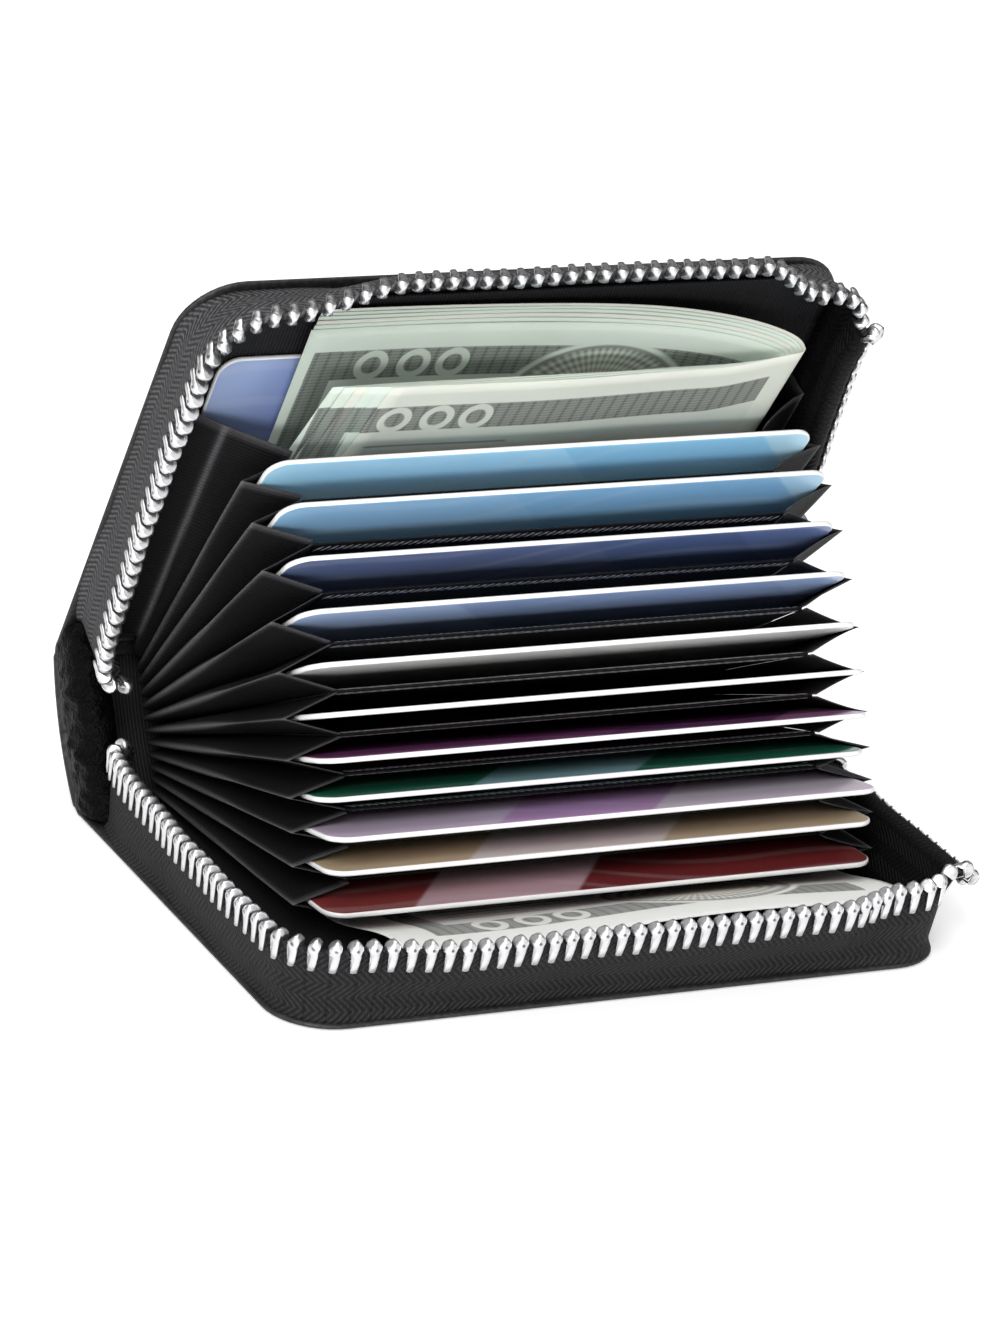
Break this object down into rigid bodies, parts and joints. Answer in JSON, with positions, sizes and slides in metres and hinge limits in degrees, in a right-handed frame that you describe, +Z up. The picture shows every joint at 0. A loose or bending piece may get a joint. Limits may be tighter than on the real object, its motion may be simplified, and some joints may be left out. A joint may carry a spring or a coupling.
{
  "type": "accordion card wallet",
  "caption": "Zip-around accordion card wallet, open: two covers on a folding spine, a fan of pleated pockets with cards, banknotes and a metal zip on three sides.",
  "frame": {"origin": "On the flat outer face of the lower cover, at the middle of the fold line between the lower cover and the spine", "axes": "X along the spine to the right as seen from the mouth, -Y towards the mouth, Z up from the lower cover"},
  "size_m": [0.1107, 0.091, 0.0903],
  "materials": {
    "black_leather": "fine pebble grain, semi-matt",
    "stiffener_board": "matt",
    "black_lining": "fine ribbed lining cloth",
    "zip_tape_weave": "herringbone weave",
    "zip_metal": "bright",
    "slider_metal": "bright",
    "accordion_fabric": "smooth, lightly ribbed",
    "card_sky_blue": "satin print",
    "card_indigo": "satin print",
    "card_periwinkle": "satin print",
    "card_white": "satin",
    "card_plum": "satin print",
    "card_green": "satin print",
    "card_mauve": "satin print",
    "card_sand": "satin print",
    "card_maroon": "satin print",
    "banknote_paper": "matt"
  },
  "bodies": {
    "lower_cover": {"lower_cover_leather": "black_leather", "lower_cover_board": "stiffener_board", "lower_cover_lining": "black_lining", "lower_zip_tape": "zip_tape_weave", "lower_zip_teeth": "zip_metal", "lower_note": "banknote_paper"},
    "spine": {"spine_leather": "black_leather", "spine_lining": "black_lining", "spine_tab_left": "black_leather", "spine_tab_right": "black_leather", "zip_end_stop": "zip_metal"},
    "upper_cover": {"upper_cover_leather": "black_leather", "upper_cover_board": "stiffener_board", "upper_cover_lining": "black_lining", "upper_zip_tape": "zip_tape_weave", "upper_zip_teeth": "zip_metal", "pleat_00": "accordion_fabric", "folded_notes_outer": "banknote_paper", "folded_notes_inner": "banknote_paper"},
    "divider_01": {"divider_01": "accordion_fabric"},
    "divider_02": {"divider_02": "accordion_fabric"},
    "divider_03": {"divider_03": "accordion_fabric"},
    "divider_04": {"divider_04": "accordion_fabric"},
    "divider_05": {"divider_05": "accordion_fabric"},
    "divider_06": {"divider_06": "accordion_fabric"},
    "divider_07": {"divider_07": "accordion_fabric"},
    "divider_08": {"divider_08": "accordion_fabric"},
    "divider_09": {"divider_09": "accordion_fabric"},
    "divider_10": {"divider_10": "accordion_fabric"},
    "divider_11": {"divider_11": "accordion_fabric"},
    "divider_12": {"divider_12": "accordion_fabric"},
    "pocket_01": {"pleat_01": "accordion_fabric"},
    "pocket_02": {"pleat_02": "accordion_fabric"},
    "pocket_03": {"pleat_03": "accordion_fabric"},
    "pocket_04": {"pleat_04": "accordion_fabric"},
    "pocket_05": {"pleat_05": "accordion_fabric"},
    "pocket_06": {"pleat_06": "accordion_fabric"},
    "pocket_07": {"pleat_07": "accordion_fabric"},
    "pocket_08": {"pleat_08": "accordion_fabric"},
    "pocket_09": {"pleat_09": "accordion_fabric"},
    "pocket_10": {"pleat_10": "accordion_fabric"},
    "pocket_11": {"pleat_11": "accordion_fabric"},
    "card_01": {"card_01": "card_sky_blue"},
    "card_02": {"card_02": "card_sky_blue"},
    "card_03": {"card_03": "card_indigo"},
    "card_04": {"card_04": "card_periwinkle"},
    "card_05": {"card_05": "card_white"},
    "card_06": {"card_06": "card_white"},
    "card_07": {"card_07": "card_plum"},
    "card_08": {"card_08": "card_green"},
    "card_09": {"card_09": "card_mauve"},
    "card_10": {"card_10": "card_sand"},
    "card_11": {"card_11": "card_maroon"},
    "loose_card": {"loose_card": "card_periwinkle"},
    "zip_slider": {"zip_slider": "slider_metal"},
    "zip_pull": {"zip_pull": "slider_metal"}
  },
  "joints": [
    {"name": "spine_fold", "type": "hinge", "parent": "lower_cover", "child": "spine", "pos_m": [0, 0, 0.0012], "axis": [-1, 0, 0], "range_deg": [-32, 0], "deforming": ["pleat_00", "pleat_01", "pleat_02", "pleat_03", "pleat_04", "pleat_05", "pleat_06", "pleat_07", "pleat_08", "pleat_09", "pleat_10", "pleat_11", "folded_notes_outer", "folded_notes_inner"]},
    {"name": "upper_cover_fold", "type": "hinge", "parent": "spine", "child": "upper_cover", "pos_m": [0, 0.01272, 0.02155], "axis": [-1, 0, 0], "range_deg": [-32.02, 0]},
    {"name": "divider_01_fold", "type": "hinge", "parent": "spine", "child": "divider_01", "pos_m": [0, 0.01033, 0.01774], "axis": [-1, 0, 0], "range_deg": [-24.02, 0]},
    {"name": "divider_02_fold", "type": "hinge", "parent": "spine", "child": "divider_02", "pos_m": [0, 0.00949, 0.01638], "axis": [-1, 0, 0], "range_deg": [-18.72, 0]},
    {"name": "divider_03_fold", "type": "hinge", "parent": "spine", "child": "divider_03", "pos_m": [0, 0.00864, 0.01502], "axis": [-1, 0, 0], "range_deg": [-13.17, 0]},
    {"name": "divider_04_fold", "type": "hinge", "parent": "spine", "child": "divider_04", "pos_m": [0, 0.00779, 0.01367], "axis": [-1, 0, 0], "range_deg": [-7.12, 0]},
    {"name": "divider_05_fold", "type": "hinge", "parent": "spine", "child": "divider_05", "pos_m": [0, 0.00694, 0.01231], "axis": [-1, 0, 0], "range_deg": [-1.07, 0]},
    {"name": "divider_06_fold", "type": "hinge", "parent": "spine", "child": "divider_06", "pos_m": [0, 0.00609, 0.01095], "axis": [-1, 0, 0], "range_deg": [0, 4.52]},
    {"name": "divider_07_fold", "type": "hinge", "parent": "spine", "child": "divider_07", "pos_m": [0, 0.00525, 0.0096], "axis": [-1, 0, 0], "range_deg": [0, 9.37]},
    {"name": "divider_08_fold", "type": "hinge", "parent": "spine", "child": "divider_08", "pos_m": [0, 0.0044, 0.00824], "axis": [-1, 0, 0], "range_deg": [0, 13.57]},
    {"name": "divider_09_fold", "type": "hinge", "parent": "spine", "child": "divider_09", "pos_m": [0, 0.00355, 0.00688], "axis": [-1, 0, 0], "range_deg": [0, 17.22]},
    {"name": "divider_10_fold", "type": "hinge", "parent": "spine", "child": "divider_10", "pos_m": [0, 0.0027, 0.00553], "axis": [-1, 0, 0], "range_deg": [0, 20.62]},
    {"name": "divider_11_fold", "type": "hinge", "parent": "spine", "child": "divider_11", "pos_m": [0, 0.00186, 0.00417], "axis": [-1, 0, 0], "range_deg": [0, 24.37]},
    {"name": "divider_12_fold", "type": "hinge", "parent": "spine", "child": "divider_12", "pos_m": [0, 0.00101, 0.00281], "axis": [-1, 0, 0], "range_deg": [0, 28.42]},
    {"name": "pocket_01_fold", "type": "hinge", "parent": "spine", "child": "pocket_01", "pos_m": [0, 0.00991, 0.01706], "axis": [-1, 0, 0], "range_deg": [-21.32, 0]},
    {"name": "pocket_02_fold", "type": "hinge", "parent": "spine", "child": "pocket_02", "pos_m": [0, 0.00906, 0.0157], "axis": [-1, 0, 0], "range_deg": [-16.12, 0]},
    {"name": "pocket_03_fold", "type": "hinge", "parent": "spine", "child": "pocket_03", "pos_m": [0, 0.00821, 0.01435], "axis": [-1, 0, 0], "range_deg": [-10.22, 0]},
    {"name": "pocket_04_fold", "type": "hinge", "parent": "spine", "child": "pocket_04", "pos_m": [0, 0.00737, 0.01299], "axis": [-1, 0, 0], "range_deg": [-4.02, 0]},
    {"name": "pocket_05_fold", "type": "hinge", "parent": "spine", "child": "pocket_05", "pos_m": [0, 0.00652, 0.01163], "axis": [-1, 0, 0], "range_deg": [0, 1.92]},
    {"name": "pocket_06_fold", "type": "hinge", "parent": "spine", "child": "pocket_06", "pos_m": [0, 0.00567, 0.01027], "axis": [-1, 0, 0], "range_deg": [0, 7.12]},
    {"name": "pocket_07_fold", "type": "hinge", "parent": "spine", "child": "pocket_07", "pos_m": [0, 0.00482, 0.00892], "axis": [-1, 0, 0], "range_deg": [0, 11.62]},
    {"name": "pocket_08_fold", "type": "hinge", "parent": "spine", "child": "pocket_08", "pos_m": [0, 0.00397, 0.00756], "axis": [-1, 0, 0], "range_deg": [0, 15.52]},
    {"name": "pocket_09_fold", "type": "hinge", "parent": "spine", "child": "pocket_09", "pos_m": [0, 0.00313, 0.0062], "axis": [-1, 0, 0], "range_deg": [0, 18.92]},
    {"name": "pocket_10_fold", "type": "hinge", "parent": "spine", "child": "pocket_10", "pos_m": [0, 0.00228, 0.00485], "axis": [-1, 0, 0], "range_deg": [0, 22.32]},
    {"name": "pocket_11_fold", "type": "hinge", "parent": "spine", "child": "pocket_11", "pos_m": [0, 0.00143, 0.00349], "axis": [-1, 0, 0], "range_deg": [0, 26.42]},
    {"name": "card_01_slide", "type": "slide", "parent": "pocket_01", "child": "card_01", "axis": [0, -0.5976, 0.8018], "range_m": [0, 0.045]},
    {"name": "card_02_slide", "type": "slide", "parent": "pocket_02", "child": "card_02", "axis": [0, -0.6678, 0.7443], "range_m": [0, 0.045]},
    {"name": "card_03_slide", "type": "slide", "parent": "pocket_03", "child": "card_03", "axis": [0, -0.7408, 0.6717], "range_m": [0, 0.045]},
    {"name": "card_04_slide", "type": "slide", "parent": "pocket_04", "child": "card_04", "axis": [0, -0.809, 0.5878], "range_m": [0, 0.045]},
    {"name": "card_05_slide", "type": "slide", "parent": "pocket_05", "child": "card_05", "axis": [0, -0.8652, 0.5015], "range_m": [0, 0.045]},
    {"name": "card_06_slide", "type": "slide", "parent": "pocket_06", "child": "card_06", "axis": [0, -0.907, 0.421], "range_m": [0, 0.045]},
    {"name": "card_07_slide", "type": "slide", "parent": "pocket_07", "child": "card_07", "axis": [0, -0.9373, 0.3486], "range_m": [0, 0.045]},
    {"name": "card_08_slide", "type": "slide", "parent": "pocket_08", "child": "card_08", "axis": [0, -0.9588, 0.284], "range_m": [0, 0.045]},
    {"name": "card_09_slide", "type": "slide", "parent": "pocket_09", "child": "card_09", "axis": [0, -0.974, 0.2267], "range_m": [0, 0.045]},
    {"name": "card_10_slide", "type": "slide", "parent": "pocket_10", "child": "card_10", "axis": [0, -0.9857, 0.1685], "range_m": [0, 0.045]},
    {"name": "card_11_slide", "type": "slide", "parent": "pocket_11", "child": "card_11", "axis": [0, -0.9952, 0.0976], "range_m": [0, 0.0125]},
    {"name": "loose_card_slide", "type": "slide", "parent": "upper_cover", "child": "loose_card", "axis": [0, -0.4384, 0.8988], "range_m": [0, 0.009]},
    {"name": "slider_run", "type": "slide", "parent": "spine", "child": "zip_slider", "axis": [0, -0.848, 0.5299], "range_m": [0, 0.005]},
    {"name": "pull_swing", "type": "hinge", "parent": "zip_slider", "child": "zip_pull", "pos_m": [0.0533, -0.00136, 0.0162], "axis": [0, -0.5299, -0.848], "range_deg": [0, 110]}
  ],
  "couplings": [
    {"joint": "upper_cover_fold", "follows": "spine_fold", "ratio": 1},
    {"joint": "divider_01_fold", "follows": "spine_fold", "ratio": 0.75},
    {"joint": "divider_02_fold", "follows": "spine_fold", "ratio": 0.58437},
    {"joint": "divider_03_fold", "follows": "spine_fold", "ratio": 0.41094},
    {"joint": "divider_04_fold", "follows": "spine_fold", "ratio": 0.22187},
    {"joint": "divider_05_fold", "follows": "spine_fold", "ratio": 0.032812},
    {"joint": "divider_06_fold", "follows": "spine_fold", "ratio": -0.14062},
    {"joint": "divider_07_fold", "follows": "spine_fold", "ratio": -0.29219},
    {"joint": "divider_08_fold", "follows": "spine_fold", "ratio": -0.42344},
    {"joint": "divider_09_fold", "follows": "spine_fold", "ratio": -0.5375},
    {"joint": "divider_10_fold", "follows": "spine_fold", "ratio": -0.64375},
    {"joint": "divider_11_fold", "follows": "spine_fold", "ratio": -0.76094},
    {"joint": "divider_12_fold", "follows": "spine_fold", "ratio": -0.8875},
    {"joint": "pocket_01_fold", "follows": "spine_fold", "ratio": 0.66563},
    {"joint": "pocket_02_fold", "follows": "spine_fold", "ratio": 0.50313},
    {"joint": "pocket_03_fold", "follows": "spine_fold", "ratio": 0.31875},
    {"joint": "pocket_04_fold", "follows": "spine_fold", "ratio": 0.125},
    {"joint": "pocket_05_fold", "follows": "spine_fold", "ratio": -0.059375},
    {"joint": "pocket_06_fold", "follows": "spine_fold", "ratio": -0.22187},
    {"joint": "pocket_07_fold", "follows": "spine_fold", "ratio": -0.3625},
    {"joint": "pocket_08_fold", "follows": "spine_fold", "ratio": -0.48438},
    {"joint": "pocket_09_fold", "follows": "spine_fold", "ratio": -0.59062},
    {"joint": "pocket_10_fold", "follows": "spine_fold", "ratio": -0.69688},
    {"joint": "pocket_11_fold", "follows": "spine_fold", "ratio": -0.825}
  ]
}
